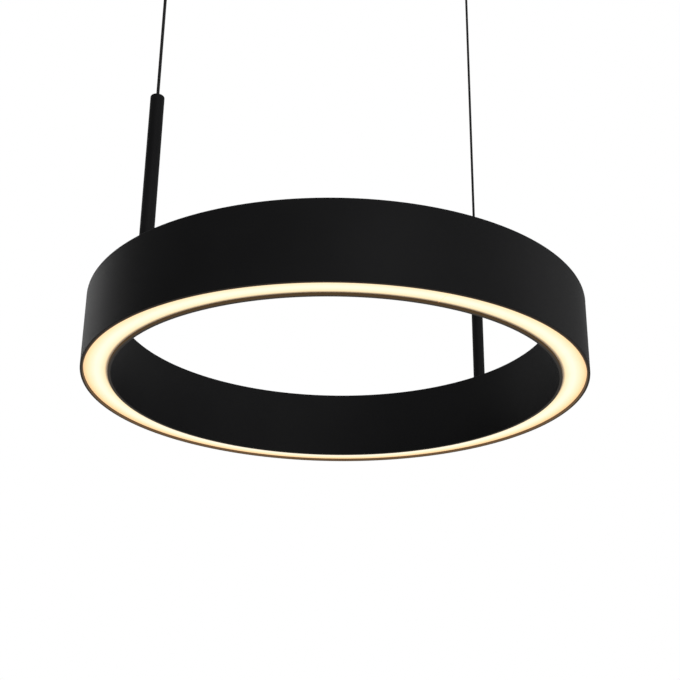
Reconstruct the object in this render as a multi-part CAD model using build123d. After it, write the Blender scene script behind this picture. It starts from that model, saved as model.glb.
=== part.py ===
from build123d import *
import os
from math import cos, degrees, radians, sqrt, tan

# A ring lamp that hangs on two thin cables. A black aluminium hoop is open below, where an opal
# strip closes it; two thin rods stand on it, and a cable goes up from each to a long canopy.
# Millimetres. +Z is up, the origin lies on the ceiling plane on the ring's axis, and the cables
# hang on the X axis, so the part below is built at +X and turned by half a circle for the left.

# ---- clearances --------------------------------------------------------------------------------
thread_gap = 0.05        # radial, screw in its thread
hole_gap = 0.2           # radial, screw or stud in its through hole
seat_gap = 0.05          # radial, plug in its tube
loose_gap = 0.3          # between pieces that only lie beside each other
cut_over = 1.0           # how far a cutting shape reaches past what it cuts

# ---- suspension --------------------------------------------------------------------------------
cable_diameter = 2.8     # black-sheathed steel rope, one pole of the low-voltage feed
cable_drop = 433.0       # gripper mouth to the centre of the ball stop
swing_limit = 12.0       # degrees that the lamp swings from the gripper mouths
tilt_limit = 10.0        # degrees that the ring rocks on its ball stops
cable_play = 0.3         # round the cable in every hole it passes
ball_diameter = 6.0      # the domed stop on the cable's end
ball_gap = 0.25          # dome to its seat
crimp_diameter = 3.8
crimp_length = 10.0      # below the ball's centre
lead_diameter = 2.0      # every insulated lead
lead_end_gap = 0.4       # the crimp swings over the lead's end

# ---- rods --------------------------------------------------------------------------------------
rod_diameter = 12.5
rod_height = 147.0       # above the ring's top
rod_wall = 1.0
cap_height = 6.0         # what shows above the tube
cap_plug = 8.0
cap_chamfer = 0.8
ball_depth = 8.0         # ball centre below the cap's top
foot_plug = 12.0
stud_diameter = 8.0
stud_bore = 4.0
stud_end = 1.5           # stud beyond its nut
foot_nut_across = 13.0
foot_nut_height = 5.0
foot_washer_diameter = 16.0
foot_washer_thickness = 1.5

# ---- ring --------------------------------------------------------------------------------------
ring_diameter = 480.0
ring_height = 72.0
ring_width = 28.0
side_wall = 2.0
top_wall = 2.5
ring_edge_chamfer = 0.6
lip_width = 3.0          # the dark border on either side of the light
lip_height = 2.5
snap_rib_width = 0.8
snap_rib_thickness = 1.0
tray_rib_width = 3.0
tray_rib_thickness = 2.0
tray_rib_level = 25.5    # underside of the ribs above the ring's lower edge

# ---- diffuser ----------------------------------------------------------------------------------
diffuser_thickness = 2.0
diffuser_gap = 0.2
leg_thickness = 1.2
leg_height = 6.0
diffuser_joint_angle = -112.2   # where the strip's two ends meet
diffuser_joint_gap = 0.3

# ---- LED tray, boards and feed -----------------------------------------------------------------
tray_thickness = 1.5
feed_hole_diameter = 6.0
clamp_length = 12.0
clamp_thickness = 6.0
tray_screw_diameter = 3.0
tray_screw_head = 5.5
tray_screw_head_height = 2.0
tray_screw_bite = 5.0    # thread in the clamp bar
board_count = 6
board_thickness = 1.6
board_gap_margin = 1.25  # screw head to board end
link_width = 1.6
link_thickness = 0.8
link_lap = 3.0
link_clearance = 0.6     # link to screw head
chips_per_board = 20
chip_length = 3.5
chip_width = 2.8
chip_height = 0.7
chip_end_clear = 5.0
terminal_length = 8.0
terminal_width = 6.0
terminal_height = 4.0
terminal_inset = 1.0
feed_bend = 4.0

# ---- canopy ------------------------------------------------------------------------------------
canopy_overhang = 24.0   # cable to the box's end
canopy_width = 60.0
canopy_depth = 30.0
canopy_sheet = 1.2
canopy_lift = 0.5        # shadow gap between the box's rim and the ceiling
canopy_corner = 3.0
canopy_edge_round = 2.0
bracket_width = 40.0
bracket_thickness = 2.0
bracket_gap = 0.3
tab_drop = 14.0
screw_chamfer = 0.4
ceiling_screw_spacing = 300.0
slot_length = 12.0
slot_width = 5.0
end_screw_diameter = 4.0
end_screw_head = 7.5
end_screw_head_height = 2.4
end_screw_drop = 8.0     # its axis below the ceiling
end_screw_tip = 2.0
entry_gap = 14.0         # left slot to the mains entry
entry_hole_diameter = 16.0
grommet_bore = 10.0
grommet_flange = 20.0
grommet_flange_thickness = 2.0

# ---- cable grippers ----------------------------------------------------------------------------
nipple_diameter = 10.0
nipple_end = 3.8         # nipple above its nut
gripper_nut_across = 14.0
gripper_nut_height = 5.0
gripper_wall = 2.5
gripper_roof = 2.0
gripper_round = 1.5
spring_room = 8.0
spring_wall = 0.8
cone_length = 8.0
cone_angle = 10.0        # half angle, degrees
guide_length = 4.0
plunger_reach = 4.0      # how far the release sleeve stands out
plunger_wall = 1.5
plunger_gap = 0.1
plunger_chamfer = 0.5
collar_step = 0.25       # collar beyond the guide, so that the sleeve can't drop out
collar_height = 1.0
jaw_count = 3
jaw_height = 4.6
jaw_gap = 0.1            # jaw to cone, cable and collar
jaw_slit = 0.6           # between neighbouring jaws

# ---- driver and wiring in the canopy -----------------------------------------------------------
driver_length = 150.0
driver_width = 30.0
driver_height = 20.0
driver_round = 2.0
ear_length = 10.0
ear_width = 20.0
ear_thickness = 2.5
driver_screw_diameter = 3.0
driver_screw_head = 5.5
driver_screw_head_height = 2.0
driver_gap = 7.0         # earth screw's head to the driver's ear
block_gap = 12.0         # entry's flange to the terminal block
block_length = 20.0
block_width = 26.0
block_height = 14.0
pole_pitch = 8.0
pole_tower = 6.0
pole_tower_height = 2.0
pole_screw_diameter = 3.4
pole_screw_depth = 1.5
mains_level = 6.0        # mains leads below the ceiling
earth_run = 10.0         # terminal block to the earth tag
earth_screw_diameter = 4.0
earth_screw_head = 7.0
earth_screw_head_height = 2.2
earth_tag_diameter = 8.0
earth_tag_thickness = 0.8
earth_barrel_length = 8.0
earth_barrel_width = 3.0
earth_barrel_height = 2.6
earth_bend = 2.0
connector_length = 22.0
connector_width = 12.0
connector_height = 10.0
connector_offset = 16.0  # gripper axis to the connector's near face
tail_bend = 8.0
output_level = 12.0      # output leads below the ceiling
output_lane = 8.0        # beside the ceiling screws
return_lane = 22.0       # beside the driver
output_run = 20.0        # straight out of the driver
output_ramp = 16.0
lead_bend = 6.0
ramp_bend = 12.0

# ---- places worked out from the sizes ----------------------------------------------------------
ring_radius = ring_diameter / 2
ring_inner = ring_radius - ring_width
ring_middle = (ring_radius + ring_inner) / 2
bay_inner = ring_inner + side_wall
bay_outer = ring_radius - side_wall
cable_radius = cable_diameter / 2
lead_radius = lead_diameter / 2
rod_radius = rod_diameter / 2
rod_bore = rod_radius - rod_wall
ball_radius = ball_diameter / 2

gripper_length = gripper_roof + spring_room + cone_length + guide_length
z_gripper_top = -canopy_depth
z_gripper_end = z_gripper_top - gripper_length
z_mouth = z_gripper_end - plunger_reach
z_ball = z_mouth - cable_drop
z_cap_top = z_ball + ball_depth
z_cap_base = z_cap_top - cap_height
z_ring_top = z_cap_top - rod_height
z_ring_bottom = z_ring_top - ring_height
z_bay_top = z_ring_top - top_wall
z_lip = z_ring_bottom + lip_height
z_leg_top = z_lip + diffuser_thickness + leg_height
z_rib = z_ring_bottom + tray_rib_level
z_tray = z_rib - tray_thickness
z_board = z_tray - board_thickness
z_bracket = -bracket_thickness

canopy_length = 2 * (ring_middle + canopy_overhang)
slot_end = ceiling_screw_spacing / 2 - slot_length / 2
entry_place = entry_gap + entry_hole_diameter / 2 - slot_end
block_place = entry_place + grommet_flange / 2 + block_gap + block_length / 2
block_face = block_place + block_length / 2
barrel_end = block_face + earth_run
earth_place = barrel_end + earth_barrel_length
driver_place = earth_place + earth_screw_head / 2 + driver_gap + ear_length + driver_length / 2

sides = (("right", 0.0), ("left", 180.0))


# ---- small helpers -----------------------------------------------------------------------------
def slab(r_low, r_high, z_low, z_high):
    """A rectangle in the half plane of radius and height."""
    centre = Pos((r_low + r_high) / 2, (z_low + z_high) / 2)
    return centre * Rectangle(r_high - r_low, z_high - z_low)


def turned(profile, arc=360.0):
    """A profile of radius and height, turned about the lamp's axis."""
    return revolve(Plane.XZ * profile, Axis.Z, arc)


def rod(radius, z_low, z_high):
    """A plain upright cylinder on the Z axis."""
    return Pos(0, 0, (z_low + z_high) / 2) * Cylinder(radius, z_high - z_low)


def pipe(outer, inner, z_low, z_high):
    return rod(outer, z_low, z_high) - rod(inner, z_low, z_high)


def hex_nut(across, bore, z_low, z_high):
    """A hexagon nut on the Z axis, bored for its thread."""
    flats = RegularPolygon(across / 2, 6, major_radius=False)
    return Pos(0, 0, z_low) * extrude(flats, z_high - z_low) - rod(bore, z_low, z_high)


def screw(head, head_height, diameter, length):
    """A pan-head screw that points up, with the underside of its head at height 0."""
    top = rod(head / 2, -head_height, 0)
    top = chamfer(top.edges().group_by(Axis.Z)[0], screw_chamfer)
    return top + rod(diameter / 2, 0, length)


def brick(x_low, x_high, width, z_low, z_high):
    """A box centred on the X axis."""
    middle = Pos((x_low + x_high) / 2, 0, (z_low + z_high) / 2)
    return middle * Box(x_high - x_low, width, z_high - z_low)


def lead(points, radius, bend):
    """A round lead along straight runs joined by tangent arcs."""
    path = FilletPolyline(*points, radius=bend)
    start = Vector(*points[0])
    section = Plane(origin=start, z_dir=Vector(*points[1]) - start) * Circle(radius)
    return sweep(section, path)


def at(angle, radius, shape):
    """A shape moved out to a radius and turned to an angle round the lamp's axis."""
    return Rot(0, 0, angle) * Pos(radius, 0, 0) * shape


def arc_degrees(length):
    """The angle that a length takes on the ring's middle circle."""
    return degrees(length / ring_middle)


def save(name, *solids):
    shape = solids[0] if len(solids) == 1 else Compound(list(solids))
    export_step(shape, f"parts/{name}.step")


os.makedirs("parts", exist_ok=True)


# ---- ring housing ------------------------------------------------------------------------------
# An extrusion rolled into a hoop and welded. It is closed above and open below, with a lip on
# each side of the opening, snap ribs over the diffuser's legs and ribs for the LED tray.
stud_radius = stud_diameter / 2
section = slab(ring_inner, ring_radius, z_ring_bottom, z_ring_top)
section = chamfer(section.vertices(), ring_edge_chamfer)
opening = slab(ring_inner + lip_width, ring_radius - lip_width, z_ring_bottom - cut_over, z_lip)
bay = slab(bay_inner, bay_outer, z_lip, z_bay_top)
z_snap = z_leg_top + diffuser_gap
for low, high, width, thickness in (
    (z_snap, z_snap + snap_rib_thickness, snap_rib_width, snap_rib_thickness),
    (z_rib, z_rib + tray_rib_thickness, tray_rib_width, tray_rib_thickness),
):
    bay -= slab(bay_inner, bay_inner + width, low, high)
    bay -= slab(bay_outer - width, bay_outer, low, high)
housing = turned(section - opening - bay)
stud_hole = rod(stud_radius + hole_gap, z_bay_top - cut_over, z_ring_top + cut_over)
for name, turn in sides:
    housing -= at(turn, ring_middle, stud_hole)
save("ring_housing", housing)

# ---- diffuser ----------------------------------------------------------------------------------
# One opal strip whose ends meet. Its plate rests on the lips and its legs stand under the ribs.
plate_inner = bay_inner + diffuser_gap
plate_outer = bay_outer - diffuser_gap
strip = slab(plate_inner, plate_outer, z_lip, z_lip + diffuser_thickness)
strip += slab(plate_inner, plate_inner + leg_thickness, z_lip, z_leg_top)
strip += slab(plate_outer - leg_thickness, plate_outer, z_lip, z_leg_top)
joint_cut = Pos(ring_middle, 0, (z_lip + z_leg_top) / 2) * Box(
    ring_width, diffuser_joint_gap, z_leg_top - z_lip + 2 * cut_over
)
save("diffuser", turned(strip) - Rot(0, 0, diffuser_joint_angle) * joint_cut)

# ---- LED boards, their chips and links ---------------------------------------------------------
# Curved boards bonded to the tray's underside. A link bridges each gap on both edges of the boards,
# and the tray's screws sit in the middle of the gaps.
board_gap = tray_screw_head + 2 * board_gap_margin
board_half = tray_screw_head / 2 + link_clearance + link_width
board_low = ring_middle - board_half
board_high = ring_middle + board_half
board_pitch = 360.0 / board_count
board_arc = board_pitch - arc_degrees(board_gap)
first_chip = arc_degrees(board_gap / 2 + terminal_inset + terminal_length + chip_end_clear)
chip_pitch = (board_pitch - 2 * first_chip) / (chips_per_board - 1)
chip = Pos(0, 0, z_board - chip_height / 2) * Box(chip_width, chip_length, chip_height)
board = turned(slab(board_low, board_high, z_board, z_tray), board_arc)
chips = []
for index in range(board_count):
    start = index * board_pitch
    save(f"led_board_{index + 1}", Rot(0, 0, start + arc_degrees(board_gap / 2)) * board)
    for place in range(chips_per_board):
        chips.append(at(start + first_chip + place * chip_pitch, ring_middle, chip))
save("led_chips", *chips)

feed_angles = [turn for name, turn in sides]
clamp_angles = [
    index * board_pitch for index in range(board_count) if index * board_pitch not in feed_angles
]
link_arc = arc_degrees(board_gap + 2 * link_lap)
links = []
for angle in clamp_angles:
    for low in (board_low, board_high - link_width):
        bridge = turned(slab(low, low + link_width, z_board - link_thickness, z_board), link_arc)
        links.append(Rot(0, 0, angle - link_arc / 2) * bridge)
save("board_links", *links)

# ---- LED tray, its clamp bars and screws -------------------------------------------------------
# A flat aluminium ring pulled up against the housing's ribs by bars that lie across them.
tray = turned(slab(bay_inner + loose_gap, bay_outer - loose_gap, z_tray, z_rib))
tray_screw_radius = tray_screw_diameter / 2
screw_hole = rod(tray_screw_radius + hole_gap, z_tray - cut_over, z_rib + cut_over)
feed_hole = rod(feed_hole_diameter / 2, z_tray - cut_over, z_rib + cut_over)
for angle in clamp_angles:
    tray -= at(angle, ring_middle, screw_hole)
for angle in feed_angles:
    tray -= at(angle, ring_middle, feed_hole)
save("led_tray", tray)

z_clamp = z_rib + tray_rib_thickness
clamp_span = bay_outer - bay_inner - 2 * loose_gap
z_clamp_top = z_clamp + clamp_thickness
clamp = Pos(0, 0, (z_clamp + z_clamp_top) / 2) * Box(clamp_span, clamp_length, clamp_thickness)
clamp -= rod(tray_screw_radius + thread_gap, z_clamp - cut_over, z_clamp_top + cut_over)
tray_screw = Pos(0, 0, z_tray) * screw(
    tray_screw_head,
    tray_screw_head_height,
    tray_screw_diameter,
    tray_thickness + tray_rib_thickness + tray_screw_bite,
)
save("tray_clamps", *[at(angle, ring_middle, clamp) for angle in clamp_angles])
save("tray_screws", *[at(angle, ring_middle, tray_screw) for angle in clamp_angles])

# ---- rods --------------------------------------------------------------------------------------
# A tube between a foot, whose hollow stud is bolted through the ring's top wall, and a cap with a
# conical seat for the cable's stop. Above the seat its hole opens by the angle the ring may rock.
tube = pipe(rod_radius, rod_bore, z_ring_top, z_cap_base)

play_radius = cable_radius / cos(radians(tilt_limit)) + cable_play
mouth_radius = play_radius + ball_depth * tan(radians(tilt_limit))
seat_radius = ball_radius + ball_gap
seat_cone = seat_radius * sqrt(2)
seat_height = seat_cone - seat_radius
throat_height = seat_cone - play_radius
z_plug = z_cap_base - cap_plug
cap = rod(rod_radius, z_cap_base, z_cap_top)
cap = chamfer(cap.edges().group_by(Axis.Z)[-1], cap_chamfer)
cap += rod(rod_bore - seat_gap, z_plug, z_cap_base)
cap -= rod(seat_radius, z_plug - cut_over, z_ball + seat_height)
cap -= Pos(0, 0, z_ball + (seat_height + throat_height) / 2) * Cone(
    seat_radius, play_radius, throat_height - seat_height
)
cap -= Pos(0, 0, z_ball + ball_depth / 2) * Cone(play_radius, mouth_radius, ball_depth)

z_stud = z_bay_top - foot_washer_thickness - foot_nut_height - stud_end
foot = rod(rod_bore - seat_gap, z_ring_top, z_ring_top + foot_plug)
foot += rod(stud_radius, z_stud, z_ring_top)
foot -= rod(stud_bore / 2, z_stud - cut_over, z_ring_top + foot_plug + cut_over)
z_nut = z_bay_top - foot_washer_thickness
washer = pipe(foot_washer_diameter / 2, stud_radius + hole_gap, z_nut, z_bay_top)
foot_nut = hex_nut(foot_nut_across, stud_radius + thread_gap, z_nut - foot_nut_height, z_nut)

# The stop crimped on the cable's lower end is a dome with a flat where the cable enters, and a
# sleeve below it that carries the current on to the lead in the rod.
ball_flat = sqrt(ball_radius**2 - (cable_radius + seat_gap) ** 2)
dome = Pos(0, 0, z_ball) * Sphere(ball_radius, arc_size1=0)
ball_stop = dome - rod(ball_radius, z_ball + ball_flat, z_ball + ball_diameter)
ball_stop += rod(crimp_diameter / 2, z_ball - crimp_length, z_ball)

# The lead runs down the rod and the hollow stud, and turns along the ring into its terminal.
z_lead = z_board - terminal_height / 2
z_lead_top = z_ball - crimp_length - lead_end_gap
terminal_start = board_gap / 2 + terminal_inset
rod_lead = lead(
    ((0, 0, z_lead_top), (0, 0, z_lead), (0, terminal_start, z_lead)), lead_radius, feed_bend
)
terminal = Pos(0, terminal_start + terminal_length / 2, z_lead) * Box(
    terminal_width, terminal_length, terminal_height
)
z_cable_top = z_mouth - cable_radius * tan(radians(swing_limit)) - seat_gap
cable = rod(cable_radius, z_ball + ball_flat, z_cable_top)
for name, turn in sides:
    save(f"rod_tube_{name}", at(turn, ring_middle, tube))
    save(f"rod_cap_{name}", at(turn, ring_middle, cap))
    save(f"rod_foot_{name}", at(turn, ring_middle, foot))
    save(f"ball_stop_{name}", at(turn, ring_middle, ball_stop))
    save(f"rod_lead_{name}", at(turn, ring_middle, rod_lead))
    save(f"feed_terminal_{name}", at(turn, ring_middle, terminal))
    save(f"suspension_cable_{name}", at(turn, ring_middle, cable))
save("foot_washers", *[at(turn, ring_middle, washer) for name, turn in sides])
save("foot_nuts", *[at(turn, ring_middle, foot_nut) for name, turn in sides])

# ---- cable grippers ----------------------------------------------------------------------------
# The load draws a split collet down a cone and onto the cable, and a spring keeps it there.
# Pushing the sleeve up lifts the jaws off the cone and frees the cable.
bore_radius = cable_radius + cable_play
plunger_radius = bore_radius + plunger_wall
guide_radius = plunger_radius + plunger_gap
cone_slope = tan(radians(cone_angle))
cone_top_radius = guide_radius + cone_length * cone_slope
gripper_radius = cone_top_radius + gripper_wall
z_cone = z_gripper_end + guide_length
z_cone_top = z_cone + cone_length
z_roof = z_cone_top + spring_room
z_floor = z_gripper_top + canopy_sheet
z_nipple = z_floor + gripper_nut_height + nipple_end
nipple_radius = nipple_diameter / 2

gripper = rod(gripper_radius, z_gripper_end, z_gripper_top)
gripper = chamfer(gripper.edges().group_by(Axis.Z)[0], gripper_round)
gripper += rod(nipple_radius, z_gripper_top, z_nipple)
gripper -= rod(bore_radius, z_roof - cut_over, z_nipple + cut_over)
gripper -= rod(cone_top_radius, z_cone_top, z_roof)
gripper -= Pos(0, 0, (z_cone + z_cone_top) / 2) * Cone(guide_radius, cone_top_radius, cone_length)
gripper -= rod(guide_radius, z_gripper_end - cut_over, z_cone)

collar_radius = guide_radius + collar_step
z_collar = z_cone + (collar_step + seat_gap) / cone_slope
z_jaw = z_collar + collar_height + jaw_gap
plunger = rod(plunger_radius, z_mouth, z_collar)
plunger = chamfer(plunger.edges().group_by(Axis.Z)[0], plunger_chamfer)
plunger += rod(collar_radius, z_collar, z_collar + collar_height)
plunger -= rod(bore_radius, z_mouth - cut_over, z_collar + collar_height + cut_over)

jaw_low = guide_radius + (z_jaw - z_cone) * cone_slope - jaw_gap
jaw_high = jaw_low + jaw_height * cone_slope
jaw_bore = cable_radius + jaw_gap
collet = Pos(0, 0, z_jaw + jaw_height / 2) * Cone(jaw_low, jaw_high, jaw_height)
collet -= rod(jaw_bore, z_jaw - cut_over, z_jaw + jaw_height + cut_over)
slit_reach = jaw_high + cut_over
slit = Pos(slit_reach / 2, 0, z_jaw + jaw_height / 2) * Box(
    slit_reach, jaw_slit, jaw_height + 2 * cut_over
)
for index in range(jaw_count):
    collet -= Rot(0, 0, index * 360.0 / jaw_count) * slit
spring_radius = jaw_high - jaw_gap
spring = pipe(spring_radius, spring_radius - spring_wall, z_jaw + jaw_height, z_roof)
gripper_nut = hex_nut(
    gripper_nut_across, nipple_radius + thread_gap, z_floor, z_floor + gripper_nut_height
)

# Inside the canopy the cable bends over into a connector on the bracket.
z_connector = z_bracket - connector_height / 2
tail = lead(
    ((0, 0, z_mouth), (0, 0, z_connector), (-connector_offset, 0, z_connector)),
    cable_radius,
    tail_bend,
)
connector = brick(
    -connector_offset - connector_length,
    -connector_offset,
    connector_width,
    z_bracket - connector_height,
    z_bracket,
)
for name, turn in sides:
    save(f"gripper_body_{name}", at(turn, ring_middle, gripper))
    save(f"gripper_plunger_{name}", at(turn, ring_middle, plunger))
    save(f"gripper_jaws_{name}", at(turn, ring_middle, collet))
    save(f"gripper_spring_{name}", at(turn, ring_middle, spring))
    save(f"cable_tail_{name}", at(turn, ring_middle, tail))
save("gripper_nuts", *[at(turn, ring_middle, gripper_nut) for name, turn in sides])
save("output_connectors", *[at(turn, ring_middle, connector) for name, turn in sides])

# ---- canopy housing ----------------------------------------------------------------------------
# A sheet-steel box, open to the ceiling. The grippers hang in its floor.
outer = Pos(0, 0, -canopy_depth) * extrude(
    RectangleRounded(canopy_length, canopy_width, canopy_corner), canopy_depth - canopy_lift
)
outer = fillet(outer.edges().group_by(Axis.Z)[0], canopy_edge_round)
inner = Pos(0, 0, z_floor) * extrude(
    RectangleRounded(
        canopy_length - 2 * canopy_sheet,
        canopy_width - 2 * canopy_sheet,
        canopy_corner - canopy_sheet,
    ),
    canopy_depth,
)
inner = fillet(inner.edges().group_by(Axis.Z)[0], canopy_edge_round - canopy_sheet)
canopy = outer - inner
end_screw_radius = end_screw_diameter / 2
end_screw_axis = Pos(0, 0, -end_screw_drop) * Rot(0, 90, 0)
canopy -= end_screw_axis * Cylinder(end_screw_radius + hole_gap, canopy_length + 2 * cut_over)
nipple_hole = rod(nipple_radius + hole_gap, z_gripper_top - cut_over, z_floor + cut_over)
for name, turn in sides:
    canopy -= at(turn, ring_middle, nipple_hole)
save("canopy_housing", canopy)

# ---- ceiling bracket ---------------------------------------------------------------------------
# A steel strip with slots for the ceiling screws. Its ends turn down and take the box's screws.
bracket_half = canopy_length / 2 - canopy_sheet - bracket_gap
entry_radius = entry_hole_diameter / 2
driver_screw_radius = driver_screw_diameter / 2
earth_screw_radius = earth_screw_diameter / 2
ear_reach = driver_length / 2 + ear_length / 2
bracket = brick(-bracket_half, bracket_half, bracket_width, z_bracket, 0)
for low, high in (
    (-bracket_half, bracket_thickness - bracket_half),
    (bracket_half - bracket_thickness, bracket_half),
):
    bracket += brick(low, high, bracket_width, -tab_drop, 0)
bracket -= end_screw_axis * Cylinder(end_screw_radius + thread_gap, canopy_length)
z_under = z_bracket - cut_over
for place in (-ceiling_screw_spacing / 2, ceiling_screw_spacing / 2):
    bracket -= Pos(place, 0, z_under) * extrude(
        SlotOverall(slot_length, slot_width), bracket_thickness + 2 * cut_over
    )
bracket -= Pos(entry_place, 0, 0) * rod(entry_radius, z_under, cut_over)
bracket -= Pos(earth_place, 0, 0) * rod(earth_screw_radius + thread_gap, z_under, cut_over)
driver_screw_places = (driver_place - ear_reach, driver_place + ear_reach)
for place in driver_screw_places:
    bracket -= Pos(place, 0, 0) * rod(driver_screw_radius + thread_gap, z_under, cut_over)
save("ceiling_bracket", bracket)

grommet = rod(entry_radius - seat_gap, z_bracket, 0)
grommet += rod(grommet_flange / 2, z_bracket - grommet_flange_thickness, z_bracket)
grommet -= rod(grommet_bore / 2, z_under - grommet_flange_thickness, cut_over)
save("entry_grommet", Pos(entry_place, 0, 0) * grommet)

end_screw_length = canopy_sheet + bracket_gap + bracket_thickness + end_screw_tip
end_screw = screw(end_screw_head, end_screw_head_height, end_screw_diameter, end_screw_length)
end_screw = Pos(canopy_length / 2, 0, -end_screw_drop) * Rot(0, -90, 0) * end_screw
save("canopy_end_screws", *[Rot(0, 0, turn) * end_screw for name, turn in sides])

# ---- driver ------------------------------------------------------------------------------------
# A closed plastic case with an ear at each end, screwed up against the bracket.
driver_half = driver_length / 2
z_ear = z_bracket - ear_thickness
ear_hole = rod(driver_screw_radius + hole_gap, z_ear - cut_over, z_bracket)
driver = brick(-driver_half, driver_half, driver_width, z_bracket - driver_height, z_bracket)
driver = fillet(driver.edges().filter_by(Axis.Z), driver_round)
driver = fillet(driver.edges().group_by(Axis.Z)[0], driver_round / 2)
driver += brick(-driver_half - ear_length, driver_half + ear_length, ear_width, z_ear, z_bracket)
for place in (-ear_reach, ear_reach):
    driver -= Pos(place, 0, 0) * ear_hole
save("led_driver", Pos(driver_place, 0, 0) * driver)
driver_screw = Pos(0, 0, z_ear) * screw(
    driver_screw_head,
    driver_screw_head_height,
    driver_screw_diameter,
    ear_thickness + bracket_thickness,
)
save("driver_screws", *[Pos(place, 0, 0) * driver_screw for place in driver_screw_places])

# ---- mains terminal block ----------------------------------------------------------------------
# Three poles side by side. Each has a screw in a short square tower at either end.
block_half = block_length / 2
z_block = z_bracket - block_height
z_tower = z_block - pole_tower_height
block = brick(-block_half, block_half, block_width, z_block, z_bracket)
pole_screws = []
for pole in (-pole_pitch, 0.0, pole_pitch):
    for place in (-block_half / 2, block_half / 2):
        tower = brick(-pole_tower / 2, pole_tower / 2, pole_tower, z_tower, z_block)
        tower -= rod(pole_screw_diameter / 2 + hole_gap, z_tower - cut_over, z_block)
        block += Pos(place, pole, 0) * tower
        head = rod(pole_screw_diameter / 2, z_block - pole_screw_depth, z_block)
        pole_screws.append(Pos(block_place + place, pole, 0) * head)
save("terminal_block", Pos(block_place, 0, 0) * block)
save("terminal_screws", *pole_screws)

# ---- leads in the canopy -----------------------------------------------------------------------
# Live and neutral go straight to the driver, and the earth lead to a tag under the earth screw.
input_run = driver_place - driver_half - block_face
input_lead = Pos(block_face + input_run / 2, 0, -mains_level) * Rot(0, 90, 0) * Cylinder(
    lead_radius, input_run
)
save("driver_input_leads", *[Pos(0, pole, 0) * input_lead for pole in (-pole_pitch, pole_pitch)])

z_tag = z_bracket - earth_tag_thickness
z_barrel = z_bracket - earth_barrel_height / 2
earth_step = earth_run / 3
tag = rod(earth_tag_diameter / 2, z_tag, z_bracket)
tag -= rod(earth_screw_radius + thread_gap, z_tag - cut_over, z_bracket + cut_over)
barrel = brick(
    -earth_barrel_length,
    -earth_screw_head / 2 - loose_gap,
    earth_barrel_width,
    z_bracket - earth_barrel_height,
    z_bracket,
)
earth_wire = lead(
    (
        (block_face, 0, -mains_level),
        (block_face + earth_step, 0, -mains_level),
        (barrel_end - earth_step, 0, z_barrel),
        (barrel_end, 0, z_barrel),
    ),
    lead_radius,
    earth_bend,
)
save("earth_lead", Pos(earth_place, 0, 0) * (tag + barrel) + earth_wire)
earth_screw = Pos(earth_place, 0, z_tag) * screw(
    earth_screw_head,
    earth_screw_head_height,
    earth_screw_diameter,
    earth_tag_thickness + bracket_thickness,
)
save("earth_screw", earth_screw)

# The two output leads leave the driver's right end. One goes on to the right connector, and the
# other turns back beside the driver to the left one.
driver_end = driver_place + driver_half
connector_face = ring_middle - connector_offset - connector_length
ramp_end = connector_face - output_ramp / 2
ramp_start = ramp_end - output_ramp
right_lead = lead(
    (
        (driver_end, -output_lane, -output_level),
        (ramp_start, -output_lane, -output_level),
        (ramp_end, 0, z_connector),
        (connector_face, 0, z_connector),
    ),
    lead_radius,
    ramp_bend,
)
left_lead = lead(
    (
        (driver_end, output_lane, -output_level),
        (driver_end + output_run, output_lane, -output_level),
        (driver_end + output_run, return_lane, -output_level),
        (-ramp_start, return_lane, -output_level),
        (-ramp_end, 0, z_connector),
        (-connector_face, 0, z_connector),
    ),
    lead_radius,
    lead_bend,
)
save("driver_output_leads", right_lead, left_lead)
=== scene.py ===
from math import pi, radians

import bmesh
import bpy
from mathutils import Matrix, Vector


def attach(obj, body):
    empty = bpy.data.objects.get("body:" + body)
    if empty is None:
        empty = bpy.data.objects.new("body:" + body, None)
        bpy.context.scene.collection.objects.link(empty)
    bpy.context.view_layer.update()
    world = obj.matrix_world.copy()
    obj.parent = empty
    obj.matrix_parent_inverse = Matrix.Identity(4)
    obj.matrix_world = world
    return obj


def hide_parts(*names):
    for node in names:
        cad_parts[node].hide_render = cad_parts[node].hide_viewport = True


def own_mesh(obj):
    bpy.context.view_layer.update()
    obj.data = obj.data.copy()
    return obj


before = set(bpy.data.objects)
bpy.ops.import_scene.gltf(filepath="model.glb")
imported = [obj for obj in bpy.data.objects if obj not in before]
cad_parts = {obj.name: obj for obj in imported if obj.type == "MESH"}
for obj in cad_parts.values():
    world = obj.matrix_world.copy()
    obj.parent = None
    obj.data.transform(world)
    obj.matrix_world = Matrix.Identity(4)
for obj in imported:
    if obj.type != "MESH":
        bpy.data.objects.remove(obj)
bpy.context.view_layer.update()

# ---- viewpoint -----------------------------------------------------------------------------------
# The lamp is seen from below and outside the ring, from a little under two arm's lengths, with the
# frame moved up a little on the lens as for a picture of something hanging.
lens = bpy.data.cameras.new("photo_lens")
lens.sensor_width = 36.0
lens.lens = 57.475
lens.shift_y = 0.0876
lens.clip_start = 0.01
lens.clip_end = 50.0
viewpoint = bpy.data.objects.new("viewpoint", lens)
bpy.context.scene.collection.objects.link(viewpoint)
sight = Vector((0.66067, 0.67093, 0.33671)).normalized()
right = Vector((0.70976, -0.70436, 0.01086)).normalized()
rise = right.cross(sight).normalized()
turn = Matrix((right, rise, -sight)).transposed().to_4x4()
viewpoint.matrix_world = Matrix.Translation((-0.68464, -0.70224, -1.05974)) @ turn
bpy.context.scene.camera = viewpoint
bpy.context.scene.view_settings.view_transform = "Standard"

# ---- studio --------------------------------------------------------------------------------------
# A white surround that lights softly from everywhere, a pale floor a good way below, and five large
# soft lamps: one beyond the ring at the left, three round the camera's right, and one above.
def add_node(tree, kind, settings=None, values=None):
    """One node, with its settings and the values of its unlinked sockets."""
    node = tree.nodes.new(kind)
    for key, value in (settings or {}).items():
        setattr(node, key, value)
    for key, value in (values or {}).items():
        node.inputs[key].default_value = value
    return node


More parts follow.
